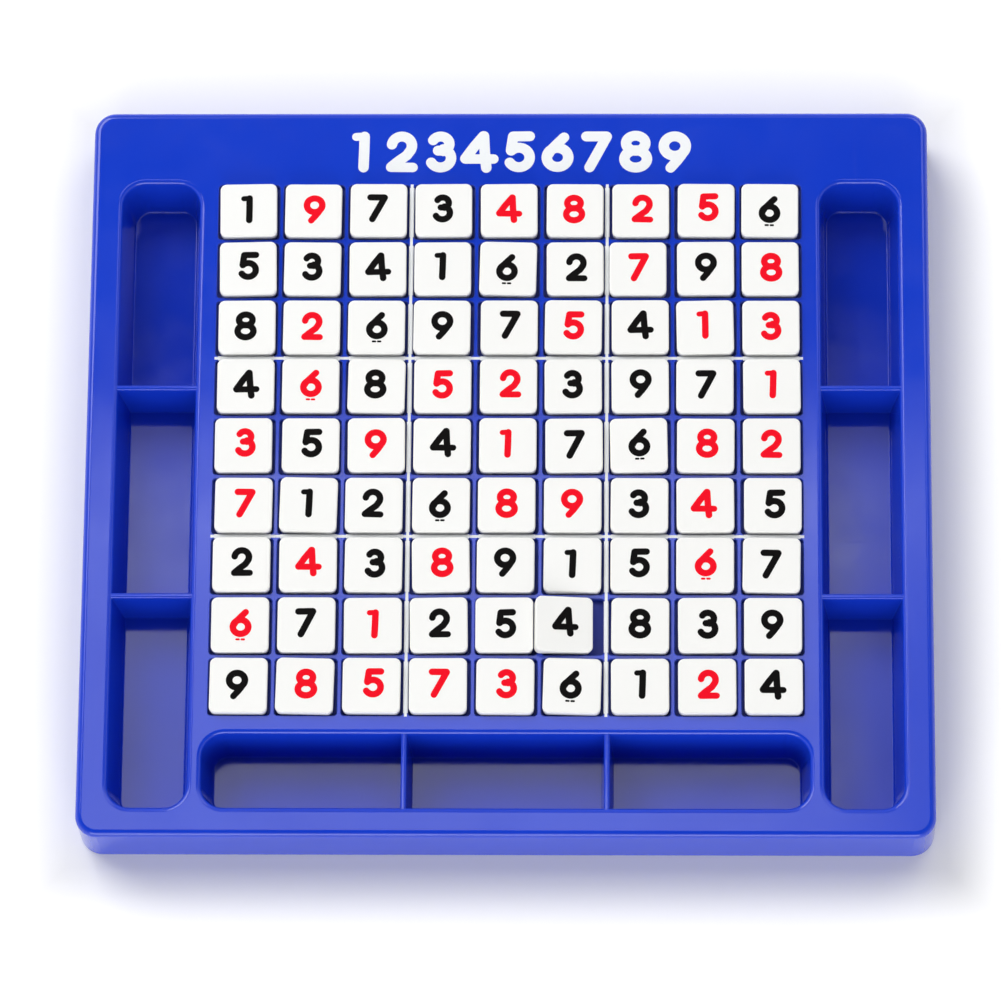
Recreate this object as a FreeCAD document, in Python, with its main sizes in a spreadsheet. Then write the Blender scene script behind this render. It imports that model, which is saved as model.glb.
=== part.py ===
"""Sudoku board: a moulded tray board with a recessed nine by nine grid and 81 loose number tiles.

Frame: +X runs to the right along a row of cells, +Y away from the player, +Z up.
The origin is the middle of the board's footprint, on the surface that it stands on.
All lengths are in millimetres and all angles in degrees.
"""

import FreeCAD, Part
import math
import os

import Sketcher

BLOCK = 3                   # cells along one side of a block, and blocks along one side of the grid
CELLS = BLOCK * BLOCK       # cells along one side of the grid
HALF = (CELLS - 1) / 2      # index of the middle row and column
EDGE_SLACK = 0.01           # how far outside a mouth's box its edges may still lie

# ---------------------------------------------------------------------------
# Driving dimensions: alias, value, what it is
# ---------------------------------------------------------------------------
SIZES = [
    ("pitch_x", 19.87, "column spacing of the cells"),
    ("pitch_y", 18.64, "row spacing of the cells"),
    ("rib_width", 1.4, "rib between two cells"),
    ("rib_bevel", 0.3, "bevel of a rib's top edges"),
    ("cell_depth", 2.4, "cell floor below the deck"),
    ("cell_corner", 1.0, "corner radius of a cell"),
    ("cell_floor", 1.8, "wall under a cell"),
    ("board_height", 23.5, "deck above the table"),
    ("wall", 2.2, "wall of the shell and of the trays"),
    ("skirt_draft", 1.2, "slope of the outer skirt"),
    ("rim_round", 2.0, "rounding along the deck's outer edge"),
    ("board_corner", 7.0, "corner radius of the footprint"),
    ("side_tray_width", 23.9, "width of the two side trays"),
    ("front_tray_width", 22.55, "width of the front tray"),
    ("tray_corner", 7.0, "corner radius of a tray's mouth"),
    ("tray_draft", 6.5, "slope of a tray's walls"),
    ("tray_floor", 2.0, "wall under a tray"),
    ("tray_floor_round", 0.5, "rounding where a tray's wall meets its floor"),
    ("tray_rim_round", 1.5, "rounding along a tray's mouth"),
    ("well_gap", 1.0, "underside of a tray above the table"),
    ("divider_top", 1.6, "thickness of a divider at its top"),
    ("divider_drop", 0.5, "divider's top below the deck"),
    ("divider_draft", 3.2, "slope of a divider's faces"),
    ("divider_round", 0.7, "rounding along a divider's top"),
    ("side_margin", 9.6, "footprint edge to side tray"),
    ("front_margin", 9.15, "footprint edge to the trays' front ends"),
    ("side_land", 5.08, "side tray to grid"),
    ("grid_land", 4.9, "front tray to grid"),
    ("tray_land", 4.0, "side tray to front tray"),
    ("title_band", 23.6, "grid to the footprint's far edge"),
    ("stiffener_width", 1.6, "thickness of the ribs under the grid"),
    ("stiffener_depth", 4.5, "height of the ribs under the grid"),
    ("tile_play_x", 1.15, "play of a tile in its cell, across"),
    ("tile_play_y", 0.30, "play of a tile in its cell, along"),
    ("tile_height", 4.6, "height of a tile"),
    ("tile_corner", 1.9, "corner radius of a tile"),
    ("tile_draft", 2.5, "slope of a tile's sides, narrower below"),
    ("tile_top_round", 0.5, "rounding along a tile's top edge"),
    ("tile_foot_round", 0.4, "rounding along a tile's bottom edge"),
    ("tile_clearance", 0.05, "least gap between a tile and a rib"),
    ("perch_gap", 0.2, "gap between the perched tile and the tile beside it"),
]

# Sizes that follow from the driving ones
WORKED_OUT = [
    ("grid_width", f"={CELLS} * pitch_x"),
    ("grid_length", f"={CELLS} * pitch_y"),
    ("board_width", "=grid_width + 2 * (side_land + side_tray_width + side_margin)"),
    ("board_length", "=front_margin + front_tray_width + grid_land + grid_length + title_band"),
    ("front_edge", "=-board_length / 2 + front_margin"),
    ("grid_front", "=front_edge + front_tray_width + grid_land"),
    ("grid_middle", "=grid_front + grid_length / 2"),
    ("grid_back", "=grid_front + grid_length"),
    ("cell_width", "=pitch_x - rib_width"),
    ("cell_length", "=pitch_y - rib_width"),
    ("cell_level", "=board_height - cell_depth"),
    ("tray_level", "=well_gap + tray_floor"),
    ("tray_depth", "=board_height - tray_level"),
    ("tray_narrowing", "=tray_depth * tan(tray_draft * 1deg)"),
    ("side_tray_length", "=grid_back - front_edge"),
    ("side_tray_x", "=grid_width / 2 + side_land + side_tray_width / 2"),
    ("side_tray_y", "=(grid_back + front_edge) / 2"),
    ("front_tray_length", "=grid_width + 2 * (side_land - tray_land)"),
    ("front_tray_y", "=front_edge + front_tray_width / 2"),
    ("divider_foot", "=divider_top + 2 * tray_depth * tan(divider_draft * 1deg)"),
    ("divider_seat", "=tray_floor / 4"),
    ("tile_width", "=cell_width - tile_play_x"),
    ("tile_length", "=cell_length - tile_play_y"),
    ("tile_narrowing", "=tile_height * tan(tile_draft * 1deg)"),
]

# The solved grid, row 1 at the far edge. A capital letter marks a red tile: A is 1, I is 9.
PUZZLE = (
    "1I7 3DH BE6",
    "534 162 G9H",
    "8B6 97E 4AC",
    "4F8 EB3 97A",
    "C5I 4A7 6HB",
    "G12 6HI 3D5",
    "2D3 H91 5F7",
    "F7A 254 839",
    "9HE GC6 1B4",
)

PERCHED = (8, 6)            # this tile lies with its left side up on the rib
TURNS = {                   # tiles that lie visibly askew, in degrees
    (1, 1): 1.0, (2, 1): 1.2, (2, 5): -1.2, (3, 8): 1.0, (4, 3): -1.0, (5, 7): 1.2,
    (6, 2): -1.2, (7, 4): 1.2, (7, 9): -1.0, (8, 4): 1.0, (9, 2): -1.2, (9, 6): -1.5,
}
SLIDES = {                  # share of the play across that a tile is pushed by: -1 left, +1 right
    (2, 7): -0.9, (4, 1): 0.3, (5, 3): 0.4, (7, 5): -0.5, (8, 5): -0.9, (9, 8): 0.5,
}
WANDER_TURN = 0.5           # degrees: how far the other tiles turn at most
WANDER_SLIDE = 0.5          # share of the play by which they slide at most

doc = FreeCAD.newDocument("sudoku_board")
sheet = doc.addObject("Spreadsheet::Sheet", "sizes")


def fill_sheet():
    """Write the driving and the worked-out sizes into the sheet."""
    row = 1
    for alias, value, meaning in SIZES:
        sheet.set(f"A{row}", meaning)
        sheet.set(f"B{row}", str(value))
        sheet.setAlias(f"B{row}", alias)
        row += 1
    for alias, formula in WORKED_OUT:
        sheet.set(f"A{row}", alias.replace("_", " "))
        sheet.set(f"B{row}", formula)
        sheet.setAlias(f"B{row}", alias)
        row += 1
    doc.recompute()


def size(alias):
    """Give the value of one size."""
    return float(getattr(sheet, alias))


def bound(text):
    """Turn a formula of aliases into an expression on the sheet."""
    names = sorted([name for name, *_ in SIZES + WORKED_OUT], key=len, reverse=True)
    parts, word = [], ""
    for letter in text + " ":
        if letter.isalnum() or letter == "_":
            word += letter
            continue
        parts.append(f"sizes.{word}" if word in names else word)
        parts.append(letter)
        word = ""
    return "".join(parts).strip()


def worth(text):
    """Give the present value of a formula of aliases."""
    return float(sheet.evalExpression(bound(text)))


# ---------------------------------------------------------------------------
# Sketches
# ---------------------------------------------------------------------------
def origin_item(body, role):
    """Find one of a body's own origin planes or axes."""
    return next(item for item in body.Origin.OriginFeatures if item.Role == role)


def new_sketch(body, name, level="0"):
    """Start a sketch parallel to the body's XY plane, at a height given by a formula."""
    sketch = body.newObject("Sketcher::SketchObject", name)
    sketch.AttachmentSupport = [(origin_item(body, "XY_Plane"), "")]
    sketch.MapMode = "FlatFace"
    sketch.setExpression("AttachmentOffset.Base.z", f"({bound(level)}) * 1 mm")
    return sketch


def draw_box(sketch, width, length, x="0", y="0", corner=None):
    """Draw a rectangle about (x, y), with rounded corners where a radius is given.

    Every argument but the sketch is a formula of aliases, so the shape follows the sheet.
    """
    wide, long = worth(width) / 2, worth(length) / 2
    mid_x, mid_y = worth(x), worth(y)
    round_by = worth(corner) if corner else 0.0
    start = sketch.GeometryCount

    def point(px, py):
        return FreeCAD.Vector(mid_x + px, mid_y + py, 0)

    sides = [
        (point(-wide + round_by, -long), point(wide - round_by, -long)),
        (point(wide, -long + round_by), point(wide, long - round_by)),
        (point(wide - round_by, long), point(-wide + round_by, long)),
        (point(-wide, long - round_by), point(-wide, -long + round_by)),
    ]
    for first, last in sides:
        sketch.addGeometry(Part.LineSegment(first, last), False)
    for index, kind in enumerate(("Horizontal", "Vertical", "Horizontal", "Vertical")):
        sketch.addConstraint(Sketcher.Constraint(kind, start + index))
    if corner:
        draw_corners(sketch, start, point, wide, long, round_by, corner)
    else:
        for index in range(4):
            joined = Sketcher.Constraint("Coincident", start + index, 2, start + (index + 1) % 4, 1)
            sketch.addConstraint(joined)
    edges = (
        ("DistanceX", start + 3, f"({x}) - ({width}) / 2"),
        ("DistanceX", start + 1, f"({x}) + ({width}) / 2"),
        ("DistanceY", start + 0, f"({y}) - ({length}) / 2"),
        ("DistanceY", start + 2, f"({y}) + ({length}) / 2"),
    )
    for kind, line, place in edges:
        bind(sketch, Sketcher.Constraint(kind, -1, 1, line, 1, worth(place)), place)


def draw_corners(sketch, start, point, wide, long, round_by, corner):
    """Join a rectangle's four sides with tangent arcs of one radius."""
    middles = [
        (wide - round_by, -long + round_by, -math.pi / 2),
        (wide - round_by, long - round_by, 0.0),
        (-wide + round_by, long - round_by, math.pi / 2),
        (-wide + round_by, -long + round_by, math.pi),
    ]
    for px, py, turn in middles:
        circle = Part.Circle(point(px, py), FreeCAD.Vector(0, 0, 1), round_by)
        sketch.addGeometry(Part.ArcOfCircle(circle, turn, turn + math.pi / 2), False)
    for index in range(4):
        arc = start + 4 + index
        sketch.addConstraint(Sketcher.Constraint("Tangent", start + index, 2, arc, 1))
        sketch.addConstraint(Sketcher.Constraint("Tangent", arc, 2, start + (index + 1) % 4, 1))
        if index:
            sketch.addConstraint(Sketcher.Constraint("Equal", start + 4, arc))
    bind(sketch, Sketcher.Constraint("Radius", start + 4, round_by), corner)


def bind(sketch, constraint, formula):
    """Add a constraint and tie its value to a formula of aliases."""
    index = sketch.addConstraint(constraint)
    sketch.setExpression(f"Constraints[{index}]", f"({bound(formula)}) * 1 mm")


# ---------------------------------------------------------------------------
# Features
# ---------------------------------------------------------------------------
def finish_feature(body, feature):
    """Recompute, and stop if the feature left the body without a sound solid."""
    doc.recompute()
    if feature.Shape.isNull() or not feature.Shape.isValid():
        raise RuntimeError(f"{body.Label}: {feature.Name} is not sound")
    return feature


def extrude(body, kind, sketch, depth, taper="0", down=False):
    """Pad or pocket a sketch by a formula's depth, up or down, with a slope.

    A positive taper widens the shape away from its sketch, and a negative one narrows it.
    """
    before = body.Shape.Volume if body.Tip else 0.0
    feature = body.newObject(f"PartDesign::{kind}", f"{kind}_{sketch.Name}")
    feature.Profile = sketch
    feature.setExpression("Length", f"({bound(depth)}) * 1 mm")
    feature.setExpression("TaperAngle", f"({bound(taper)}) * 1 deg")
    feature.Reversed = down if kind == "Pad" else not down
    finish_feature(body, feature)
    grown = body.Shape.Volume - before
    if grown <= 0 if kind == "Pad" else grown >= 0:
        raise RuntimeError(f"{body.Label}: {feature.Name} points the wrong way")
    return feature


def edges_at(shape, level, inside=None):
    """Name the edges that lie flat at a height, all or those within a box of X and Y."""
    names = []
    for index, edge in enumerate(shape.Edges, 1):
        box = edge.BoundBox
        if abs(box.ZMin - level) > 1e-4 or abs(box.ZMax - level) > 1e-4:
            continue
        if inside:
            x_low, x_high, y_low, y_high = inside
            if box.XMin < x_low or box.XMax > x_high or box.YMin < y_low or box.YMax > y_high:
                continue
        names.append(f"Edge{index}")
    return names


def round_edges(body, base, names, radius, name):
    """Round the named edges of a feature by a formula's radius."""
    feature = body.newObject("PartDesign::Fillet", name)
    feature.Base = (base, names)
    feature.setExpression("Radius", f"({bound(radius)}) * 1 mm")
    return finish_feature(body, feature)


# ---------------------------------------------------------------------------
# Board
# ---------------------------------------------------------------------------
class Tray:
    """The formulas of one long tray: its middle, its size at the mouth and its dividers' run."""

    def __init__(self, name, x, y, width, length, along_x):
        self.name = name
        self.x = x
        self.y = y
        self.width = width
        self.length = length
        self.along_x = along_x

    def span(self, grow="0"):
        """Give the formulas of the mouth's extent in X and Y, grown on every side."""
        across = f"{self.width} + 2 * ({grow})"
        along = f"{self.length} + 2 * ({grow})"
        return (along, across) if self.along_x else (across, along)

    def box(self, grow):
        """Give the mouth's limits in X and Y, grown by a number."""
        width, length = (worth(formula) / 2 + grow for formula in self.span())
        x, y = worth(self.x), worth(self.y)
        return (x - width, x + width, y - length, y + length)


TRAYS = (
    Tray("left", "-side_tray_x", "side_tray_y", "side_tray_width", "side_tray_length", False),
    Tray("right", "side_tray_x", "side_tray_y", "side_tray_width", "side_tray_length", False),
    Tray("front", "0", "front_tray_y", "front_tray_width", "front_tray_length", True),
)


def make_shell(body):
    """Pad the outer block, round its deck edge and hollow it from below."""
    outline = new_sketch(body, "outline")
    draw_box(outline, "board_width", "board_length", corner="board_corner")
    block = extrude(body, "Pad", outline, "board_height", "-skirt_draft")
    rim = edges_at(block.Shape, size("board_height"))
    round_edges(body, block, rim, "rim_round", "deck_edge")
    hollow = new_sketch(body, "hollow")
    draw_box(hollow, "board_width - 2 * wall", "board_length - 2 * wall", corner="board_corner - wall")
    extrude(body, "Pocket", hollow, "board_height - wall", "-skirt_draft")


def make_wells(body):
    """Add the outer walls of the trays and the slab under the grid, below the deck."""
    for tray in TRAYS:
        well = new_sketch(body, f"{tray.name}_well", "board_height - wall")
        draw_box(well, *tray.span("wall - wall * tan(tray_draft * 1 deg)"), tray.x, tray.y,
                 "tray_corner + wall - wall * tan(tray_draft * 1 deg)")
        extrude(body, "Pad", well, "board_height - wall - well_gap", "-tray_draft", down=True)
    slab = new_sketch(body, "grid_slab", "board_height - wall")
    draw_box(slab, "grid_width + 2 * wall", "grid_length + 2 * wall", "0", "grid_middle", "cell_corner + wall")
    extrude(body, "Pad", slab, "cell_depth + cell_floor - wall", down=True)


def make_stiffeners(body):
    """Add the low ribs under the grid, below the lines between its blocks."""
    runs = {
        "across": [("grid_width", "stiffener_width", "0", f"grid_middle + {side} * pitch_y")
                   for side in (-BLOCK / 2, BLOCK / 2)],
        "along": [("stiffener_width", "grid_length", f"{side} * pitch_x", "grid_middle")
                  for side in (-BLOCK / 2, BLOCK / 2)],
    }
    for name, boxes in runs.items():
        ribs = new_sketch(body, f"stiffeners_{name}", "board_height - cell_depth - cell_floor")
        for width, length, x, y in boxes:
            draw_box(ribs, width, length, x, y)
        extrude(body, "Pad", ribs, "stiffener_depth", down=True)


def make_trays(body):
    """Sink the three trays into the deck, with sloping walls and rounded floors and mouths."""
    for tray in TRAYS:
        mouth = new_sketch(body, f"{tray.name}_tray", "board_height")
        draw_box(mouth, *tray.span(), tray.x, tray.y, "tray_corner")
        cut = extrude(body, "Pocket", mouth, "tray_depth", "-tray_draft", down=True)
        floor = edges_at(cut.Shape, size("tray_level"), tray.box(0.0))
        bowl = round_edges(body, cut, floor, "tray_floor_round", f"{tray.name}_floor_edge")
        rim = edges_at(bowl.Shape, size("board_height"), tray.box(EDGE_SLACK))
        round_edges(body, bowl, rim, "tray_rim_round", f"{tray.name}_mouth_edge")


def divider_section(body, tray, side, name, level, thickness, narrowing):
    """Draw one end of a divider's loft: a box across the tray at a height."""
    section = new_sketch(body, name, level)
    reach = f"{tray.width} - 2 * ({narrowing})"
    shift = f"{side} * ({tray.length}) / {2 * BLOCK}"
    if tray.along_x:
        draw_box(section, thickness, reach, f"{tray.x} + {shift}", tray.y)
    else:
        draw_box(section, reach, thickness, tray.x, f"{tray.y} + {shift}")
    return section


def make_dividers(body):
    """Stand two thin dividers in each tray, a little lower than the deck, to part it in three.

    Their ends reach into the tray's walls, under the rounding of the mouth.
    """
    ridge_level = size("board_height") - size("divider_drop")
    for tray in TRAYS:
        for side in (-1, 1):
            name = f"{tray.name}_divider_{'low' if side < 0 else 'high'}"
            top = divider_section(body, tray, side, f"{name}_top", "board_height - divider_drop",
                                  "divider_top", "-tray_rim_round")
            foot = divider_section(body, tray, side, f"{name}_foot", "tray_level - divider_seat",
                                   "divider_foot", "tray_narrowing - wall / 4")
            loft = body.newObject("PartDesign::AdditiveLoft", name)
            loft.Profile = top
            loft.Sections = [foot]
            loft.Ruled = True
            finish_feature(body, loft)
            ridge = [edge for edge in edges_at(loft.Shape, ridge_level, tray.box(size("tray_rim_round")))
                     if loft.Shape.getElement(edge).Length > size("tray_corner")]
            round_edges(body, loft, ridge, "divider_round", f"{name}_ridge")


def cell_cutter(body, name, grow, depth, taper):
    """Cut the front left cell, or its mouth, into the deck."""
    sketch = new_sketch(body, name, "board_height")
    draw_box(sketch, f"cell_width + 2 * ({grow})", f"cell_length + 2 * ({grow})", f"-{HALF} * pitch_x",
             f"grid_middle - {HALF} * pitch_y", f"cell_corner + {grow}")
    return extrude(body, "Pocket", sketch, depth, taper, down=True)


def make_cells(body):
    """Sink the first cell into the deck, bevel its mouth, and repeat both along rows and columns."""
    uncut = body.Shape.Volume
    cell = cell_cutter(body, "corner_cell", "0", "cell_depth", "0")
    mouth = cell_cutter(body, "corner_mouth", "rib_bevel", "rib_bevel", "-45")
    single = uncut - body.Shape.Volume
    grid = body.newObject("PartDesign::MultiTransform", "cell_grid")
    grid.Originals = [cell, mouth]
    rows = body.newObject("PartDesign::LinearPattern", "cell_rows")
    columns = body.newObject("PartDesign::LinearPattern", "cell_columns")
    spans = ((columns, "X_Axis", "pitch_x"), (rows, "Y_Axis", "pitch_y"))
    for pattern, axis, pitch in spans:
        pattern.Direction = (origin_item(body, axis), [""])
        pattern.setExpression("Length", f"sizes.{pitch} * {CELLS - 1} * 1 mm")
        pattern.Occurrences = CELLS
    grid.Transformations = [columns, rows]
    body.Tip = grid
    finish_feature(body, grid)
    if abs(uncut - body.Shape.Volume - CELLS * CELLS * single) > 0.01 * single:
        raise RuntimeError("the pattern did not cut every cell")


def make_board():
    """Build the board as one body."""
    body = doc.addObject("PartDesign::Body", "board")
    body.Label = "board"
    make_shell(body)
    make_wells(body)
    make_stiffeners(body)
    make_trays(body)
    make_dividers(body)
    make_cells(body)
    return body


# ---------------------------------------------------------------------------
# Tiles
# ---------------------------------------------------------------------------
def make_blank():
    """Build one tile, standing on the middle of its bottom face."""
    body = doc.addObject("PartDesign::Body", "tile_blank")
    face = new_sketch(body, "tile_face", "tile_height")
    draw_box(face, "tile_width", "tile_length", corner="tile_corner")
    block = extrude(body, "Pad", face, "tile_height", "-tile_draft", down=True)
    top = round_edges(body, block, edges_at(block.Shape, size("tile_height")), "tile_top_round", "tile_top")
    round_edges(body, top, edges_at(top.Shape, 0.0), "tile_foot_round", "tile_foot")
    return body


def wander(row, column, seed):
    """Give a steady value between -1 and 1 that differs from cell to cell."""
    wave = math.sin(row * 12.9898 + column * 78.233 + seed * 37.719) * 43758.5453
    return 2 * (wave - math.floor(wave)) - 1


def tile_extent(turn):
    """Give the half extents of a tile turned in its cell, at the height of the ribs' tops."""
    inset = max(size("tile_height") - size("cell_depth"), 0.0) * math.tan(math.radians(size("tile_draft")))
    corner = size("tile_corner")
    wide = size("tile_width") / 2 - inset - corner
    long = size("tile_length") / 2 - inset - corner
    cos_turn, sin_turn = math.cos(turn), abs(math.sin(turn))
    return wide * cos_turn + long * sin_turn + corner, long * cos_turn + wide * sin_turn + corner


def tile_turn(row, column):
    """Give a tile's turn about the vertical, no more than its cell lets it have."""
    wanted = TURNS.get((row, column), WANDER_TURN * wander(row, column, 1))
    turn = math.radians(wanted)
    for _ in range(40):
        if tile_extent(turn)[1] < size("cell_length") / 2 - size("tile_clearance"):
            return turn
        turn *= 0.9
    return 0.0


def flat_place(row, column):
    """Lay a tile flat on the floor of its cell, a little off its middle."""
    turn = tile_turn(row, column)
    wide, long = tile_extent(turn)
    slide = SLIDES.get((row, column), WANDER_SLIDE * wander(row, column, 2))
    room_x = max(size("cell_width") / 2 - size("tile_clearance") - wide, 0.0)
    room_y = max(size("cell_length") / 2 - size("tile_clearance") - long, 0.0)
    place = FreeCAD.Placement()
    place.Base = FreeCAD.Vector(
        (column - 1 - HALF) * size("pitch_x") + slide * room_x,
        size("grid_middle") + (HALF + 1 - row) * size("pitch_y") + WANDER_SLIDE * wander(row, column, 3) * room_y,
        size("cell_level"))
    place.Rotation = FreeCAD.Rotation(FreeCAD.Vector(0, 0, 1), math.degrees(turn))
    return place


def perched_place(row, column):
    """Lean a tile with its left side on the rib and its right foot on the cell's floor.

    Its left foot stops a named gap short of the tile to the left, which is pushed fully left.
    """
    neighbour = flat_place(row, column - 1).Base.x + size("tile_width") / 2
    foot_width = size("tile_width") - 2 * size("tile_narrowing")
    rib_edge = (column - 1 - HALF) * size("pitch_x") - size("cell_width") / 2
    left = neighbour + size("perch_gap")
    lean = 0.0
    for _ in range(20):
        right = left + foot_width * math.cos(lean)
        lean = math.atan2(size("cell_depth"), right - rib_edge)
    place = FreeCAD.Placement()
    place.Rotation = FreeCAD.Rotation(FreeCAD.Vector(0, 1, 0), math.degrees(lean))
    half = foot_width / 2
    place.Base = FreeCAD.Vector(
        right - half * math.cos(lean),
        size("grid_middle") + (HALF + 1 - row) * size("pitch_y"),
        size("cell_level") + half * math.sin(lean))
    return place


def read_puzzle():
    """List the tiles as (row, column, digit, red)."""
    tiles = []
    for row, line in enumerate(PUZZLE, 1):
        for column, mark in enumerate(line.replace(" ", ""), 1):
            red = mark.isalpha()
            digit = ord(mark) - ord("A") + 1 if red else int(mark)
            tiles.append((row, column, digit, red))
    return tiles


def copy_tile(blank, name, place):
    """Clone the blank tile into a body of its own and lay it in its place."""
    body = doc.addObject("PartDesign::Body", name)
    body.Label = name
    clone = doc.addObject("PartDesign::FeatureBase", f"{name}_clone")
    clone.BaseFeature = blank
    body.Group = [clone]
    body.Tip = clone
    body.Placement = place
    return body


def make_tiles(blank):
    """Lay all the tiles: black ones as bodies of their own, red ones in a set for each digit."""
    singles, red_sets = [], {}
    for row, column, digit, red in read_puzzle():
        perched = (row, column) == PERCHED
        place = perched_place(row, column) if perched else flat_place(row, column)
        shade = "red" if red else "black"
        tile = copy_tile(blank, f"{shade}_r{row}c{column}_{digit}", place)
        if red:
            red_sets.setdefault(digit, []).append(tile)
        else:
            singles.append(tile)
    sets = []
    for digit in sorted(red_sets):
        group = doc.addObject("Part::Compound", f"red_tiles_{digit}")
        group.Label = f"red_tiles_{digit}"
        group.Links = red_sets[digit]
        sets.append(group)
    doc.recompute()
    return singles + sets


# ---------------------------------------------------------------------------
# Build, check and write
# ---------------------------------------------------------------------------
def check_document():
    """Stop if any object of the document failed."""
    for item in doc.Objects:
        if "Invalid" in item.State or "Error" in item.State:
            raise RuntimeError(f"{item.Label} failed: {item.State}")


def write_steps(subparts):
    """Check every sub-part's shape and write it to its own file."""
    os.makedirs("parts", exist_ok=True)
    for item in subparts:
        if item.Shape.isNull() or not item.Shape.isValid():
            raise RuntimeError(f"{item.Label} has no sound shape")
    for item in subparts:
        item.Shape.exportStep(os.path.join("parts", f"{item.Label}.step"))
        print(f"{item.Label}: {len(item.Shape.Solids)} solid(s), {item.Shape.Volume:.0f} mm3")


fill_sheet()
subparts = [make_board()] + make_tiles(make_blank())
check_document()
write_steps(subparts)
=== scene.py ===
"""Looks of the sudoku board: blue moulded plastic, white tiles, printed figures, light and camera.

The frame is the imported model's: the origin lies in the middle of the board's footprint, +Y away
from the player and +Z up. Sizes of the board and its print are in millimetres; the camera, the
lamps and the floor are in metres.
"""

from __future__ import annotations

import logging
import math
import random
from collections import Counter
from dataclasses import dataclass, field
from enum import Enum

import bmesh
import bpy
import numpy as np
from mathutils import Matrix, Vector
from mathutils.geometry import delaunay_2d_cdt


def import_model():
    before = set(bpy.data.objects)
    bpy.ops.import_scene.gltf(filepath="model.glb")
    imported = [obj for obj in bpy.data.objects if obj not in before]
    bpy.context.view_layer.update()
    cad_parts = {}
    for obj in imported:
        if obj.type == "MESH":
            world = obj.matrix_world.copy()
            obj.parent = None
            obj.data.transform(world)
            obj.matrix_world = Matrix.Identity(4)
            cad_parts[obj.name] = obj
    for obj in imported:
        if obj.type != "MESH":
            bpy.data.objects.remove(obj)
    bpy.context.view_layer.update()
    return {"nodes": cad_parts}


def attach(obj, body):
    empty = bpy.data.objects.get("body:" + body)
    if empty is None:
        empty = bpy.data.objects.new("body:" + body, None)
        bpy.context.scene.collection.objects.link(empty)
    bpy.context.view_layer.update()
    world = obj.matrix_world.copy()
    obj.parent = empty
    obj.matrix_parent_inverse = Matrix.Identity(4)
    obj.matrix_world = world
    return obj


LOG = logging.getLogger("sudoku_board")
MM = 0.001

Colour = tuple[float, float, float]
Triple = tuple[float, float, float]
Point = tuple[float, float]
Ramp = tuple[Point, Point]  # where a range starts and ends, each with what it becomes there
Socket = bpy.types.NodeSocket


# ---------------------------------------------------------------- numerals


PEN = 1.0  # half the width of a numeral's stroke, mm
TAIL_PEN = 0.98  # of the tail of a 6 or a 9
BAR_PEN = 0.95  # of the level bar of a 2 or a 4
FLAG_PEN = 0.8  # of the flag of a 1
DASH_PEN = 0.3  # of the small dashes under a 6
CAP_STEPS = 8  # sides of a stroke's round end
ARC_STEP = 9.0  # degrees between the points of an arc
LAP = 10  # degrees by which the halves of a closed bowl overlap at each end


def arc(centre: Point, radii: Point, start: float, end: float) -> tuple[Point, ...]:
    """Points along an ellipse's arc.

    Args:
        centre: the ellipse's middle, mm.
        radii: its half width and half height, mm.
        start, end: the angles it runs between, degrees from the right, anticlockwise.

    Returns:
        The points in order, both ends included.
    """
    steps = max(2, math.ceil(abs(end - start) / ARC_STEP))
    turns = [math.radians(start + (end - start) * i / steps) for i in range(steps + 1)]
    return tuple(
        (centre[0] + radii[0] * math.cos(t), centre[1] + radii[1] * math.sin(t)) for t in turns
    )


@dataclass(frozen=True)
class Stroke:
    """One stroke of a numeral: its centre line and half the pen's width, mm."""

    line: tuple[Point, ...]
    half: float = PEN

    def outline(self, scale: float, bold: float) -> list[Vector]:
        """Go round the stroke with rounded ends.

        Args:
            scale: how much larger than the tile's numerals the stroke is drawn.
            bold: how much wider the pen is.

        Returns:
            The corners of the outline, anticlockwise, mm.
        """
        points = [Vector(p) * scale for p in self.line]
        half = self.half * scale * bold
        runs = [(b - a).normalized() for a, b in zip(points, points[1:])]
        right, left = [], []
        for i, point in enumerate(points):
            ahead = runs[min(i, len(runs) - 1)]
            behind = runs[max(i - 1, 0)]
            along = (ahead + behind).normalized()
            side = Vector((along.y, -along.x)) * half
            right.append(point + side)
            left.append(point - side)
        cap_end = self.cap(points[-1], runs[-1], half)
        cap_start = self.cap(points[0], -runs[0], half)
        return right + cap_end + left[::-1] + cap_start

    @staticmethod
    def cap(point: Vector, along: Vector, half: float) -> list[Vector]:
        """Points of the round end, between the two sides.

        Args:
            point: the centre line's end, mm.
            along: the way out of the stroke there.
            half: half the stroke's width, mm.

        Returns:
            The points inside the half turn, anticlockwise.
        """
        side = Vector((along.y, -along.x))
        turns = [math.pi * i / CAP_STEPS for i in range(1, CAP_STEPS)]
        return [point + (side * math.cos(t) + along * math.sin(t)) * half for t in turns]


def ring(centre: Point, radii: Point) -> tuple[Stroke, Stroke]:
    """A closed bowl, drawn as two half rings that overlap a little at their ends.

    Args:
        centre: its middle, mm.
        radii: half its width and half its height, mm.

    Returns:
        The upper and the lower half.
    """
    upper = arc(centre, radii, 180 + LAP, -LAP)
    lower = arc(centre, radii, LAP, -180 - LAP)
    return Stroke(upper), Stroke(lower)


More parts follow.
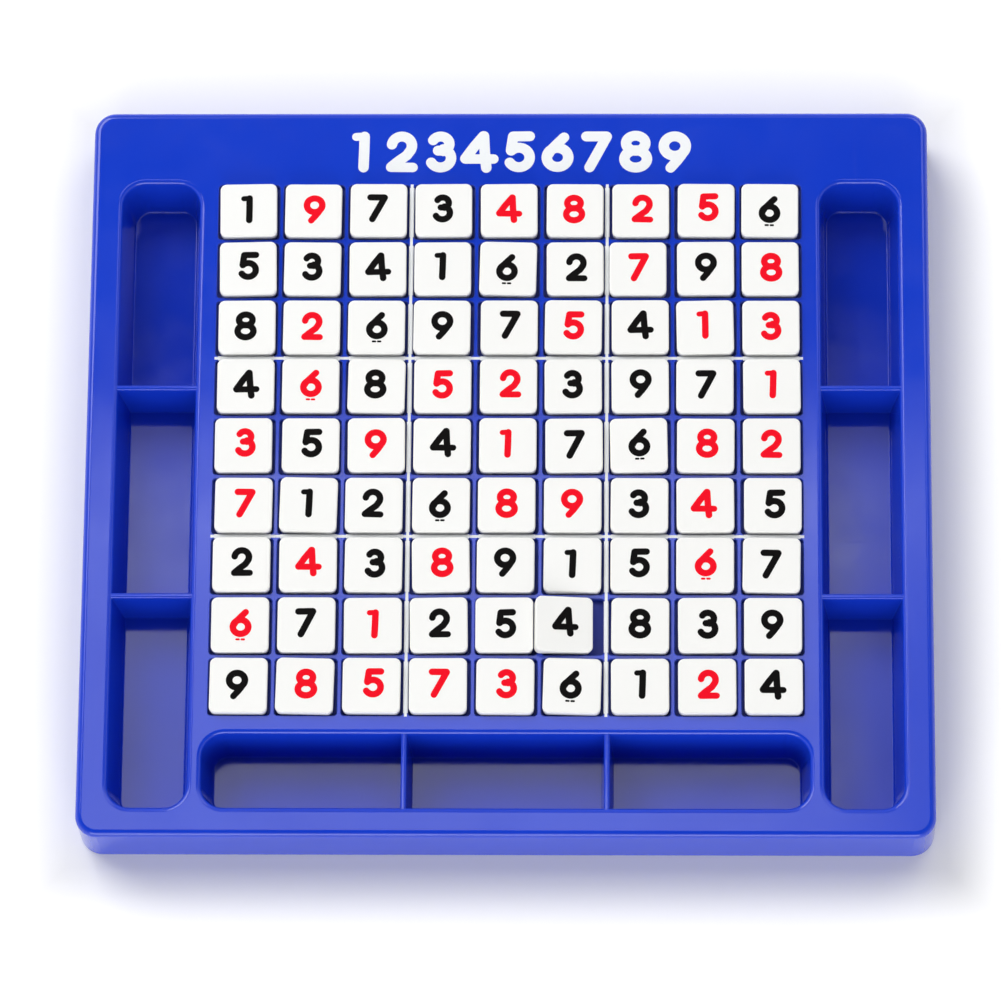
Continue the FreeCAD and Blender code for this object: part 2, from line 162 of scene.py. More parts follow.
def numeral_strokes(digit: int) -> tuple[Stroke, ...]:
    """The strokes of one plain round-ended numeral, about 9 mm high with its middle at the origin.

    Args:
        digit: 1 to 9.

    Returns:
        The strokes that make it up.
    """
    if digit == 1:
        return (
            Stroke(((-1.35, 3.42), (0.4, 3.5)), FLAG_PEN),
            Stroke(((0.45, 3.5), (0.4, 0.0), (0.3, -3.5))),
        )
    if digit == 2:
        bowl = arc((0.1, 1.4), (2.15, 2.1), 172, -28)
        return (
            Stroke(bowl + ((1.2, -0.75), (-0.6, -2.1), (-2.1, -3.35))),
            Stroke(((-2.2, -3.45), (2.5, -3.5)), BAR_PEN),
        )
    if digit == 3:
        return (
            Stroke(arc((0.05, 1.8), (1.85, 1.7), 150, -72)),
            Stroke(((-0.5, 0.3), (0.75, 0.3))),
            Stroke(arc((0.05, -1.4), (2.25, 2.1), 76, -152)),
        )
    if digit == 4:
        return (
            Stroke(((0.85, 3.6), (-1.1, 1.2), (-3.0, -1.5))),
            Stroke(((-3.0, -1.6), (3.05, -1.6)), BAR_PEN),
            Stroke(((0.95, 3.6), (1.15, 0.0), (1.5, -3.6))),
        )
    if digit == 5:
        return (
            Stroke(((-1.15, 3.5), (2.4, 3.55))),
            Stroke(((-1.15, 3.5), (-1.6, 0.35))),
            Stroke(arc((0.1, -1.25), (2.3, 2.2), 136, -148)),
        )
    if digit == 6:
        return (
            Stroke(((1.4, 3.3), (0.1, 2.0), (-1.3, 0.55), (-2.0, -0.6)), TAIL_PEN),
            *ring((0.0, -1.25), (2.3, 2.15)),
            Stroke(((-1.15, -5.1), (-0.4, -5.1)), DASH_PEN),
            Stroke(((0.4, -5.1), (1.15, -5.1)), DASH_PEN),
        )
    if digit == 7:
        return (
            Stroke(((-2.2, 3.5), (2.1, 3.5))),
            Stroke(((2.15, 3.45), (0.3, -0.1), (-1.5, -3.5))),
        )
    if digit == 8:
        return *ring((0.0, 1.95), (2.05, 1.7)), *ring((0.0, -1.6), (2.4, 1.95))
    return (
        *ring((0.0, 1.3), (2.35, 2.2)),
        Stroke(((2.2, 0.6), (1.3, -0.9), (0.4, -2.1), (-0.9, -3.6)), TAIL_PEN),
    )


def finished_mesh(name: str, shape: bmesh.types.BMesh) -> bpy.types.Mesh:
    """Turn a shape's faces outwards and make it a mesh.

    Args:
        name: the mesh's name.
        shape: the shape, which is freed.

    Returns:
        The mesh.
    """
    bmesh.ops.recalc_face_normals(shape, faces=shape.faces)
    made = bpy.data.meshes.new(name)
    shape.to_mesh(made)
    shape.free()
    return made


@dataclass(frozen=True)
class PrintLayer:
    """A flat layer of ink with straight sides, mm."""

    proud: float = 0.04  # how far it stands out of the surface
    sunk: float = 0.04  # how far it reaches into it
    same_point: float = 1e-4  # corners nearer than this become one
    fill_inside: int = 1  # the triangulation's mode that keeps what lies inside the outlines

    def mesh(self, name: str, outlines: list[list[Vector]]) -> bpy.types.Mesh:
        """Join overlapping outlines into one closed plate of ink.

        Args:
            name: the mesh's name.
            outlines: closed outlines in mm, which may overlap.

        Returns:
            The plate's mesh in metres, lying on z = 0.
        """
        corners: list[Vector] = []
        loops: list[list[int]] = []
        for outline in outlines:
            loops.append(list(range(len(corners), len(corners) + len(outline))))
            corners.extend(outline)
        flat, _, faces, _, _, origins = delaunay_2d_cdt(
            corners, [], loops, self.fill_inside, self.same_point
        )
        inked = [face for face, origin in zip(faces, origins) if origin]
        plate = bmesh.new()
        top = [plate.verts.new((p.x * MM, p.y * MM, self.proud * MM)) for p in flat]
        low = [plate.verts.new((p.x * MM, p.y * MM, -self.sunk * MM)) for p in flat]
        sides = Counter(frozenset(pair) for face in inked for pair in self.sides(face))
        for face in inked:
            plate.faces.new([top[i] for i in face])
            plate.faces.new([low[i] for i in reversed(face)])
            for start, end in self.sides(face):
                if sides[frozenset((start, end))] == 1:
                    plate.faces.new((top[end], top[start], low[start], low[end]))
        loose = [v for v in plate.verts if not v.link_faces]
        bmesh.ops.delete(plate, geom=loose, context="VERTS")
        return finished_mesh(name, plate)

    @staticmethod
    def sides(face: list[int]) -> list[tuple[int, int]]:
        """The face's sides as pairs of corners, in order."""
        return list(zip(face, face[1:] + face[:1]))


# ---------------------------------------------------------------- finishes


@dataclass(frozen=True)
class Grain:
    """A noise pattern over an object."""

    spot: float  # size of its spots, mm
    layers: float = 3.0  # how many finer patterns lie over it
    strength: float = 0.55  # how strong these are
    finer: Triple = (1.0, 1.0, 1.0)  # how many times finer it is along each axis
    turn: float = 0.0  # degrees that it is turned about the vertical


class Shader:
    """A procedural material that is put together node by node."""

    EDGE_SAMPLES = 4
    EDGE_SHOWS: Ramp = ((0.90, 1.0), (0.995, 0.0))  # match of rounded and true normal, and wear

    def __init__(self, name: str) -> None:
        """Start an empty material with a Principled surface.

        Args:
            name: the material's name.
        """
        self.material = bpy.data.materials.new(name)
        self.material.use_nodes = True
        self.tree = self.material.node_tree
        self.tree.nodes.clear()
        self.surface = self.tree.nodes.new("ShaderNodeBsdfPrincipled")
        self.output = self.tree.nodes.new("ShaderNodeOutputMaterial")
        self.join(self.surface.outputs["BSDF"], self.output.inputs["Surface"])
        self.place = self.tree.nodes.new("ShaderNodeTexCoord").outputs["Object"]

    def join(self, source: Socket, target: Socket) -> None:
        """Link one socket to another."""
        self.tree.links.new(source, target)

    def feed(self, source: Socket, name: str) -> None:
        """Link a socket to one of the surface's own."""
        self.join(source, self.surface.inputs[name])

    def plain(self, name: str, value: float | Colour) -> None:
        """Set one of the surface's own sockets to a value that holds everywhere."""
        whole = (*value, 1.0) if isinstance(value, tuple) else value
        self.surface.inputs[name].default_value = whole

    def noise(self, grain: Grain) -> Socket:
        """A noise pattern over the object.

        Args:
            grain: what the pattern is like.

        Returns:
            The pattern's value, about 0.5 on average.
        """
        where = self.place
        if grain.finer != Grain.finer or grain.turn != Grain.turn:
            mapping = self.tree.nodes.new("ShaderNodeMapping")
            mapping.inputs["Scale"].default_value = grain.finer
            mapping.inputs["Rotation"].default_value = (0.0, 0.0, math.radians(grain.turn))
            self.join(self.place, mapping.inputs["Vector"])
            where = mapping.outputs["Vector"]
        texture = self.tree.nodes.new("ShaderNodeTexNoise")
        texture.inputs["Scale"].default_value = 1.0 / (grain.spot * MM)
        texture.inputs["Detail"].default_value = grain.layers
        texture.inputs["Roughness"].default_value = grain.strength
        self.join(where, texture.inputs["Vector"])
        return texture.outputs["Fac"]

    def between(self, value: Socket, low: Point, high: Point) -> Socket:
        """Rescale a value, held inside its new limits.

        Args:
            value: the value to rescale.
            low: where the range starts, and what it becomes there.
            high: where the range ends, and what it becomes there.

        Returns:
            The new value.
        """
        scaler = self.tree.nodes.new("ShaderNodeMapRange")
        for name, number in zip(("From Min", "To Min", "From Max", "To Max"), (*low, *high)):
            scaler.inputs[name].default_value = number
        self.join(value, scaler.inputs["Value"])
        return scaler.outputs["Result"]

    def math(self, operation: str, first: Socket, second: Socket | float) -> Socket:
        """Work out a value from two others.

        Args:
            operation: the Math node's operation.
            first: the first value.
            second: the second value, a socket or a number.

        Returns:
            The result.
        """
        node = self.tree.nodes.new("ShaderNodeMath")
        node.operation = operation
        self.join(first, node.inputs[0])
        if isinstance(second, float):
            node.inputs[1].default_value = second
        else:
            self.join(second, node.inputs[1])
        return node.outputs["Value"]

    def blend(self, share: Socket, first: Socket | Colour, second: Colour) -> Socket:
        """Mix two colours.

        Args:
            share: how much of the second shows.
            first: a colour, or a colour socket.
            second: the other colour.

        Returns:
            The mixed colour.
        """
        node = self.tree.nodes.new("ShaderNodeMix")
        node.data_type = "RGBA"
        self.join(share, node.inputs["Factor"])
        if isinstance(first, tuple):
            node.inputs["A"].default_value = (*first, 1.0)
        else:
            self.join(first, node.inputs["A"])
        node.inputs["B"].default_value = (*second, 1.0)
        return node.outputs["Result"]

    def worn_edges(self, radius: float) -> Socket:
        """Where the surface turns sharply.

        Args:
            radius: how far from an edge the wear reaches, mm.

        Returns:
            1 on an edge, 0 on a flat face.
        """
        rounded = self.tree.nodes.new("ShaderNodeBevel")
        rounded.samples = self.EDGE_SAMPLES
        rounded.inputs["Radius"].default_value = radius * MM
        facing = self.tree.nodes.new("ShaderNodeNewGeometry")
        match = self.tree.nodes.new("ShaderNodeVectorMath")
        match.operation = "DOT_PRODUCT"
        self.join(rounded.outputs["Normal"], match.inputs[0])
        self.join(facing.outputs["Normal"], match.inputs[1])
        return self.between(match.outputs["Value"], *self.EDGE_SHOWS)

    def outside(self, middle: Point, half: Point) -> Socket:
        """How far the surface lies outside a rectangle seen from above.

        Args:
            middle: the rectangle's middle, mm.
            half: half its width and half its length, mm.

        Returns:
            The distance in metres, below 0 inside it.
        """
        parts = self.tree.nodes.new("ShaderNodeSeparateXYZ")
        self.join(self.place, parts.inputs["Vector"])
        beyond = []
        for axis, centre, reach in zip("XY", middle, half):
            offset = self.math("SUBTRACT", parts.outputs[axis], centre * MM)
            away = self.math("ABSOLUTE", offset, 0.0)
            beyond.append(self.math("SUBTRACT", away, reach * MM))
        return self.math("MAXIMUM", *beyond)

    def inside(self, middle: Point, half: Point, levels: Point) -> Socket:
        """Where the surface lies in an upright box.

        Args:
            middle: the box's middle seen from above, mm.
            half: half its width and half its length, mm.
            levels: its lower and upper end, mm.

        Returns:
            1 in the box, 0 outside it.
        """
        parts = self.tree.nodes.new("ShaderNodeSeparateXYZ")
        self.join(self.place, parts.inputs["Vector"])
        over = self.math("GREATER_THAN", parts.outputs["Z"], levels[0] * MM)
        under = self.math("LESS_THAN", parts.outputs["Z"], levels[1] * MM)
        level = self.math("MULTIPLY", over, under)
        within = self.math("LESS_THAN", self.outside(middle, half), 0.0)
        return self.math("MULTIPLY", level, within)

    def bump(self, grain: Grain, depth: float) -> None:
        """Raise and sink the surface with a noise pattern, over what bumps it already has.

        Args:
            grain: the pattern.
            depth: how far it goes from lowest to highest, mm.
        """
        node = self.tree.nodes.new("ShaderNodeBump")
        node.inputs["Distance"].default_value = depth * MM
        node.inputs["Strength"].default_value = 1.0
        self.join(self.noise(grain), node.inputs["Height"])
        if self.surface.inputs["Normal"].is_linked:
            self.join(self.surface.inputs["Normal"].links[0].from_socket, node.inputs["Normal"])
        self.feed(node.outputs["Normal"], "Normal")


@dataclass(frozen=True)
class DullShadedBox:
    """An upright box in which the moulding came out dull and its colour is darkened as painted
    shade, mm.
    """

    middle: Point
    half: Point  # half its width and half its length
    levels: Point  # its lower and upper end
    roughness: float
    # painted shade: a darker colour for the shade that falls in the box
    colour: Colour


@dataclass(frozen=True)
class MouldedPlastic:
    """Hard moulded plastic: its colour drifts, fine scuffs dull it and its edges are rubbed; in a
    given box it is dull and darkened with painted shade.
    """

    name: str
    colour: Colour
    drifted: Colour
    rubbed: Colour
    gloss: float  # roughness where it is clean
    scuffed: float  # roughness where it is handled
    wave_height: float  # height of the slow waves of the moulding, mm
    tooth_height: float  # height of the fine tooth, mm
    edge: float  # how far wear reaches from an edge, mm
    wear: float = 0.5
    # a box where the plastic is dull and its colour darker as painted shade
    dull: DullShadedBox | None = None
    refraction: float = 1.49
    clouds: Grain = Grain(38.0, 2.0)
    clouds_show: Ramp = ((0.35, 0.0), (0.7, 1.0))
    specks: Grain = Grain(1.1, 2.0)
    specks_show: Ramp = ((0.55, 0.0), (0.8, 0.35))
    patches: Grain = Grain(5.0, 4.0)
    patches_show: Ramp = ((0.35, 0.2), (0.65, 1.0))  # as shares of the wear
    smudges: Grain = Grain(17.0, 4.0, 0.6)
    smudges_show: Ramp = ((0.35, 0.0), (0.75, 1.0))
    scratches: Grain = Grain(3.0, 2.0, 0.5, (0.06, 1.0, 1.0), 24.0)
    cross_scratches: Grain = Grain(2.4, 2.0, 0.5, (1.0, 0.05, 1.0), -17.0)
    scratches_show: Ramp = ((0.66, 0.0), (0.74, 0.6))
    waves: Grain = Grain(26.0, 1.0, 0.4)
    tooth: Grain = Grain(0.35, 2.0, 0.5)

    def make(self) -> bpy.types.Material:
        """Build the material.

        Returns:
            The finished material.
        """
        shader = Shader(self.name)
        cloud = shader.between(shader.noise(self.clouds), *self.clouds_show)
        speck = shader.between(shader.noise(self.specks), *self.specks_show)
        tone = shader.blend(cloud, self.colour, self.drifted)
        tone = shader.blend(speck, tone, self.drifted)
        rubbed = self.rubbed_edges(shader)
        handled = shader.math("MAXIMUM", self.handling(shader), rubbed)
        roughness = shader.between(handled, (0.0, self.gloss), (1.0, self.scuffed))
        if self.dull:
            inside = shader.inside(self.dull.middle, self.dull.half, self.dull.levels)
            # painted shade: the colour goes darker inside the box
            tone = shader.blend(inside, tone, self.dull.colour)
            dulled = shader.math("MULTIPLY", inside, self.dull.roughness)
            roughness = shader.math("MAXIMUM", roughness, dulled)
        shader.feed(shader.blend(rubbed, tone, self.rubbed), "Base Color")
        shader.feed(roughness, "Roughness")
        shader.bump(self.waves, self.wave_height)
        shader.bump(self.tooth, self.tooth_height)
        shader.plain("IOR", self.refraction)
        return shader.material

    def rubbed_edges(self, shader: Shader) -> Socket:
        """Where the edges are rubbed, in patches.

        Args:
            shader: the material that is being built.

        Returns:
            How much the rubbing shows, from 0 to 1.
        """
        edges = shader.worn_edges(self.edge)
        (start, least), (end, most) = self.patches_show
        patchy = shader.between(
            shader.noise(self.patches), (start, least * self.wear), (end, most * self.wear)
        )
        return shader.math("MULTIPLY", edges, patchy)

    def handling(self, shader: Shader) -> Socket:
        """Where smudges and fine scratches dull the surface.

        Args:
            shader: the material that is being built.

        Returns:
            How much the handling shows, from 0 to 1.
        """
        smudge = shader.between(shader.noise(self.smudges), *self.smudges_show)
        lines = shader.noise(self.scratches)
        crossed = shader.noise(self.cross_scratches)
        scratched = shader.between(shader.math("MAXIMUM", lines, crossed), *self.scratches_show)
        return shader.math("MAXIMUM", smudge, scratched)


@dataclass(frozen=True)
class PrintInk:
    """Screen ink on plastic: even, slightly thin in places, with a faint texture."""

    name: str
    colour: Colour
    thin: Colour
    roughness: float
    shine: float
    starved: Grain = Grain(1.3, 4.0, 0.65)
    starved_shows: Ramp = ((0.55, 0.0), (0.8, 0.5))
    uneven: Grain = Grain(2.2, 3.0)
    uneven_shows: Ramp = ((0.35, -0.06), (0.65, 0.08))  # added to the roughness
    tooth: Grain = Grain(0.25, 2.0, 0.5)
    tooth_height: float = 0.003  # mm

    def make(self) -> bpy.types.Material:
        """Build the material.

        Returns:
            The finished material.
        """
        shader = Shader(self.name)
        starved = shader.between(shader.noise(self.starved), *self.starved_shows)
        shader.feed(shader.blend(starved, self.colour, self.thin), "Base Color")
        (start, smoother), (end, rougher) = self.uneven_shows
        low, high = (start, self.roughness + smoother), (end, self.roughness + rougher)
        shader.feed(shader.between(shader.noise(self.uneven), low, high), "Roughness")
        shader.bump(self.tooth, self.tooth_height)
        shader.plain("Specular IOR Level", self.shine)
        return shader.material


@dataclass(frozen=True)
class WhitePaper:
    """White matt paper with a faint tooth, which shows whiter away from what stands on it."""

    name: str = "white_paper"
    colour: Colour = (0.93, 0.93, 0.93)
    tint: Colour = (0.925, 0.925, 0.925)
    white: Colour = (1.0, 1.0, 1.0)
    roughness: float = 0.95
    shine: float = 0.0
    clouds: Grain = Grain(60.0, 2.0)
    clouds_show: Ramp = ((0.3, 0.0), (0.7, 1.0))
    tooth: Grain = Grain(0.8, 3.0)
    tooth_height: float = 0.02  # mm
    covered: Point = (128.0, 114.0)  # half the width and length of what stands on it, mm
    glow: Ramp = ((0.004, 0.0), (0.040, 0.45))  # distances from that, m, and how it shows there

    def make(self) -> bpy.types.Material:
        """Build the material.

        Returns:
            The finished material.
        """
        shader = Shader(self.name)
        cloud = shader.between(shader.noise(self.clouds), *self.clouds_show)
        shader.feed(shader.blend(cloud, self.colour, self.tint), "Base Color")
        shader.plain("Roughness", self.roughness)
        shader.plain("Specular IOR Level", self.shine)
        shader.bump(self.tooth, self.tooth_height)
        path = shader.tree.nodes.new("ShaderNodeLightPath").outputs
        seen = shader.math("MAXIMUM", path["Is Camera Ray"], path["Is Glossy Ray"])
        seen = shader.math("MAXIMUM", seen, path["Is Transmission Ray"])
        glow = shader.between(shader.outside((0.0, 0.0), self.covered), *self.glow)
        shader.plain("Emission Color", self.white)
        shader.feed(shader.math("MULTIPLY", seen, glow), "Emission Strength")
        return shader.material


BOARD_BLUE = MouldedPlastic(
    name="moulded_blue",
    colour=(0.0065, 0.0420, 0.560),
    drifted=(0.0080, 0.0470, 0.585),
    rubbed=(0.050, 0.125, 0.70),
    gloss=0.07,
    scuffed=0.15,
    wave_height=0.02,
    tooth_height=0.0008,
    edge=0.35,
    dull=DullShadedBox(  # the cells, whose floors and walls are matt and darkened with painted shade
        middle=(0.0, 6.5),
        half=(89.3, 83.8),
        levels=(20.5, 23.46),
        roughness=0.5,
        # painted shade of the cells between the tiles
        colour=(0.0035, 0.022, 0.30),
    ),
)
TILE_WHITE = MouldedPlastic(
    name="moulded_white",
    colour=(0.905, 0.905, 0.888),
    drifted=(0.890, 0.889, 0.870),
    rubbed=(0.82, 0.82, 0.81),
    gloss=0.30,
    scuffed=0.42,
    wave_height=0.03,
    tooth_height=0.0020,
    edge=0.25,
    wear=0.35,
)
BLACK_INK = PrintInk(
    name="black_ink",
    colour=(0.0030, 0.0025, 0.0025),
    thin=(0.0080, 0.0065, 0.0065),
    roughness=0.55,
    shine=0.06,
)
RED_INK = PrintInk(
    name="red_ink",
    colour=(0.88, 0.0035, 0.017),
    thin=(0.90, 0.020, 0.04),
    roughness=0.55,
    shine=0.06,
)
WHITE_INK = PrintInk(
    name="white_ink",
    colour=(0.86, 0.88, 0.90),
    thin=(0.74, 0.78, 0.86),
    roughness=0.5,
    shine=0.3,
)


# ---------------------------------------------------------------- pieces


def add_piece(
    name: str, mesh: bpy.types.Mesh, finish: bpy.types.Material, place: Matrix, body: str
) -> bpy.types.Object:
    """Put a mesh in the scene as a piece of one body.

    Args:
        name: the piece's name.
        mesh: its mesh, which other pieces may share.
        finish: its material.
        place: where it goes.
        body: the body that carries it.

    Returns:
        The new object.
    """
    if not mesh.materials:
        mesh.materials.append(finish)
    piece = bpy.data.objects.new(name, mesh)
    bpy.context.scene.collection.objects.link(piece)
    piece.matrix_world = place
    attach(piece, body)
    LOG.info("%s rides on %s", name, body)
    return piece


@dataclass(frozen=True)
class Face:
    """The flat top of one tile: its middle, its way up, and its way to the right."""

    middle: Vector
    up: Vector
    right: Vector

    def at(self, x: float, y: float, turn: float) -> Matrix:
        """The place of a print on the face.

        Args:
            x, y: where it lies from the middle, mm.
            turn: degrees that it is turned by.

        Returns:
            The print's matrix.
        """
        right = self.right
        away = self.up.cross(right).normalized()
        spot = self.middle + right * (x * MM) + away * (y * MM)
        axes = Matrix((right, away, self.up)).transposed().to_4x4()
        return Matrix.Translation(spot) @ axes @ Matrix.Rotation(math.radians(turn), 4, "Z")


class TileFinder:
    """Finds the flat tops of the tiles in the CAD node that holds them."""

    SAME_PLACE = 1e-6  # corners nearer than this are one corner, m
    FLAT_DIGITS = 3  # normals that agree to as many digits belong to one flat face
    UPWARD = 0.5  # least upward part of the normal of a tile's top

    def __init__(self, node: bpy.types.Object) -> None:
        """Read the node's corners and triangles.

        Args:
            node: the node's object.
        """
        mesh = node.data
        corners = np.array([v.co for v in mesh.vertices], float)
        rounded = np.round(corners / self.SAME_PLACE).astype(np.int64)
        self.keys = np.unique(rounded, axis=0, return_inverse=True)[1].ravel()
        self.corners = corners
        self.faces = [tuple(p.vertices) for p in mesh.polygons]
        self.normals = [p.normal.copy() for p in mesh.polygons]
        self.areas = [p.area for p in mesh.polygons]

    def islands(self) -> list[list[int]]:
        """The faces of each separate solid.

        Returns:
            Lists of face numbers, one for each solid.
        """
        parent = list(range(int(self.keys.max()) + 1))

        def root(key: int) -> int:
            """The corner that stands for a corner's solid.

            Args:
                key: the corner.

            Returns:
                The corner that all of the solid's corners lead to.
            """
            while parent[key] != key:
                parent[key] = parent[parent[key]]
                key = parent[key]
            return key

        for face in self.faces:
            first = root(int(self.keys[face[0]]))
            for corner in face[1:]:
                parent[root(int(self.keys[corner]))] = first
        found: dict[int, list[int]] = {}
        for number, face in enumerate(self.faces):
            found.setdefault(root(int(self.keys[face[0]])), []).append(number)
        return list(found.values())

    def facing(self, face: int) -> tuple[float, ...]:
        """A face's normal, rounded so that the faces of one flat top agree."""
        return tuple(round(c, self.FLAT_DIGITS) for c in self.normals[face])

    def rims(self, level: list[int]) -> list[Vector]:
        """The outer sides of a flat top.

        Args:
            level: the faces that make it up.

        Returns:
            The sides as vectors, m.
        """
        sides: Counter[tuple[int, int]] = Counter()
        for n in level:
            for a, b in zip(self.faces[n], self.faces[n][1:] + self.faces[n][:1]):
                sides[tuple(sorted((int(self.keys[a]), int(self.keys[b]))))] += 1
        where = {int(self.keys[c]): Vector(self.corners[c]) for n in level for c in self.faces[n]}
        return [where[b] - where[a] for (a, b), times in sides.items() if times == 1]

    def top(self, island: list[int]) -> Face:
        """The flat top of one solid.

        Args:
            island: the solid's faces.

        Returns:
            Where its top lies.
        """
        areas: Counter[tuple[float, ...]] = Counter()
        for n in island:
            if self.normals[n].z > self.UPWARD:
                areas[self.facing(n)] += self.areas[n]
        flat = areas.most_common(1)[0][0]
        level = [n for n in island if self.facing(n) == flat]
        total = sum(self.areas[n] for n in level)
        middle = sum(
            (Vector(self.corners[list(self.faces[n])].mean(0)) * self.areas[n] for n in level),
            Vector(),
        )
        across = max((r for r in self.rims(level) if abs(r.x) > abs(r.y)), key=lambda r: r.length)
        up = Vector(flat).normalized()
        right = across * math.copysign(1.0, across.x)
        right = (right - up * right.dot(up)).normalized()
        return Face(middle / total, up, right)


@dataclass
class TrayBoard:
    """The blue board: its own node, the white lines on its ribs and the row of figures, mm."""

    deck: float = 23.5  # its height above the table
    pitch: Point = (19.87, 18.64)  # spacing of the columns and of the rows
    grid_middle: Point = (0.0, 6.5)
    block: int = 3  # cells along one side of a block
    blocks: int = 3  # blocks along one side of the grid
    rib_flat: float = 0.8  # width of a rib's top between its bevels
    line_width: float = 1.36
    line_short: float = 0.35  # how far a line ends inside the grid's edge
    line_proud: float = 0.03
    line_over: float = 0.006  # how much prouder a line along the grid is than one across it
    line_sunk: float = 0.08  # how far a line's lower corners reach into the rib
    figures: tuple[int, ...] = (1, 2, 3, 4, 5, 6, 7, 8, 9)
    figure_row: Point = (2.6, 100.55)  # the row's middle
    figure_pitch: float = 11.95
    figure_scale: float = 1.43  # how much larger than a tile's numeral
    figure_bold: float = 1.12  # how much wider its pen is
    layer: PrintLayer = field(default_factory=PrintLayer)

    def dress(self, node: bpy.types.Object) -> None:
        """Give the board its plastic.

        Args:
            node: the board's own object.
        """
        node.data.materials.clear()
        node.data.materials.append(BOARD_BLUE.make())
        LOG.info("board dressed")

    def line_mesh(self, name: str, length: float, proud: float) -> bpy.types.Mesh:
        """A printed line that lies over a rib's top and its two bevels, along X.

        Args:
            name: the mesh's name.
            length: the line's length, mm.
            proud: how far the ink stands out of the rib, mm.

        Returns:
            The line's mesh, with the deck at z = 0.
        """
        flat, wide, sunk = self.rib_flat / 2, self.line_width / 2, self.line_sunk
        drop = wide - flat
        section = (
            (-wide, -drop + proud),
            (-flat, proud),
            (flat, proud),
            (wide, -drop + proud),
            (wide - sunk, -drop - sunk),
            (-wide + sunk, -drop - sunk),
        )
        strip = bmesh.new()
        ends = []
        for x in (-length / 2, length / 2):
            ends.append([strip.verts.new((x * MM, y * MM, z * MM)) for y, z in section])
        count = len(section)
        for i in range(count):
            j = (i + 1) % count
            strip.faces.new((ends[0][i], ends[1][i], ends[1][j], ends[0][j]))
        strip.faces.new(ends[0])
        strip.faces.new(ends[1][::-1])
        return finished_mesh(name, strip)

    def lines(self, ink: bpy.types.Material) -> None:
        """Print the white lines between the blocks of the grid.

        Args:
            ink: the white ink.
        """
        x0, y0 = self.grid_middle
        wide, long = (self.block * self.blocks * pitch for pitch in self.pitch)
        short, proud = 2 * self.line_short, self.line_proud
        across = self.line_mesh("line_across", wide - short, proud)
        along = self.line_mesh("line_along", long - short, proud + self.line_over)
        quarter_turn = Matrix.Rotation(math.pi / 2, 4, "Z")
        for i in range(1, self.blocks):
            offset = (i - self.blocks / 2) * self.block
            level = Matrix.Translation(Vector((x0, y0 + offset * self.pitch[1], self.deck)) * MM)
            add_piece(f"line_across_{i}", across, ink, level, "board")
            upright = Matrix.Translation(Vector((x0 + offset * self.pitch[0], y0, self.deck)) * MM)
            add_piece(f"line_along_{i}", along, ink, upright @ quarter_turn, "board")

    def figure_band(self, ink: bpy.types.Material) -> None:
        """Print the row of figures beyond the grid.

        Args:
            ink: the white ink.
        """
        middle = (len(self.figures) - 1) / 2
        x0, y0 = self.figure_row
        for i, digit in enumerate(self.figures):
            strokes = self.big_strokes(digit)
            outlines = [s.outline(self.figure_scale, self.figure_bold) for s in strokes]
            mesh = self.layer.mesh(f"band_figure_{digit}", outlines)
            spot = Vector((x0 + (i - middle) * self.figure_pitch, y0, self.deck))
            place = Matrix.Translation(spot * MM)
            add_piece(f"band_figure_{digit}", mesh, ink, place, "board")

    @staticmethod
    def big_strokes(digit: int) -> tuple[Stroke, ...]:
        """The figure's strokes without the small dashes under a 6."""
        return tuple(s for s in numeral_strokes(digit) if s.half > DASH_PEN)


class TileInk(Enum):
    """The inks of the tiles' numerals, as the nodes' names begin."""

    BLACK = "black"
    RED = "red"


@dataclass
class NumberTiles:
    """The loose white tiles with their printed numerals."""

    lift: float = 0.5  # how far above the tile's middle a numeral sits, mm
    stray: Point = (0.45, 0.3)  # how far a numeral may be off its place, mm
    skew: float = 1.2  # how far a numeral may be turned, degrees
    row_digits: int = 3  # tiles whose Y agrees to as many digits, in m, lie in one row
    layer: PrintLayer = field(default_factory=PrintLayer)
    seed: int = 7

    def __post_init__(self) -> None:
        """Make the plastic, the inks and the nine numerals once for all tiles."""
        self.plastic = TILE_WHITE.make()
        self.inks = {TileInk.BLACK: BLACK_INK.make(), TileInk.RED: RED_INK.make()}
        self.chance = random.Random(self.seed)
        self.meshes = {
            (digit, ink): self.numeral(digit, ink) for digit in range(1, 10) for ink in self.inks
        }

    def numeral(self, digit: int, ink: TileInk) -> bpy.types.Mesh:
        """The mesh of one numeral in one ink.

        Args:
            digit: 1 to 9.
            ink: the ink that it is printed in.

        Returns:
            The mesh, with its middle at the origin.
        """
        outlines = [s.outline(scale=1.0, bold=1.0) for s in numeral_strokes(digit)]
        return self.layer.mesh(f"numeral_{digit}_{ink.value}", outlines)

    def reading_order(self, face: Face) -> Point:
        """Sort tiles from the far left to the near right."""
        return -round(face.middle.y, self.row_digits), face.middle.x

    def dress(self, name: str, node: bpy.types.Object) -> int:
        """Give the tiles of one node their plastic and print their numerals.

        Args:
            name: the node's name, which begins with its ink and ends in its digit.
            node: the node's object.

        Returns:
            How many tiles the node holds.
        """
        node.data.materials.clear()
        node.data.materials.append(self.plastic)
        ink = TileInk(name.split("_")[0])
        digit = int(name.rsplit("_", 1)[1])
        finder = TileFinder(node)
        tops = (finder.top(island) for island in finder.islands())
        faces = sorted(tops, key=self.reading_order)
        for number, face in enumerate(faces, 1):
            x = self.chance.uniform(-self.stray[0], self.stray[0])
            y = self.lift + self.chance.uniform(-self.stray[1], self.stray[1])
            place = face.at(x, y, self.chance.uniform(-self.skew, self.skew))
            label = f"print_{name}" if len(faces) == 1 else f"print_{name}_{number}"
            add_piece(label, self.meshes[digit, ink], self.inks[ink], place, name)
        return len(faces)


# ---------------------------------------------------------------- studio


class Panel(Enum):
    """The lamps of the studio."""

    MIRRORED_WIDE = "mirrored_wide"
    MIRRORED_MIDDLE = "mirrored_middle"
    MIRRORED_STRIP = "mirrored_strip"
    KEY = "key"
    BACK_RIGHT = "back_right"
    BACK = "back"
    FRONT = "front"
    FRONT_HIGH = "front_high"


class Aim(Enum):
    """What a lamp points at."""

    BOARD = "board"
    FLOOR_BELOW = "floor_below"


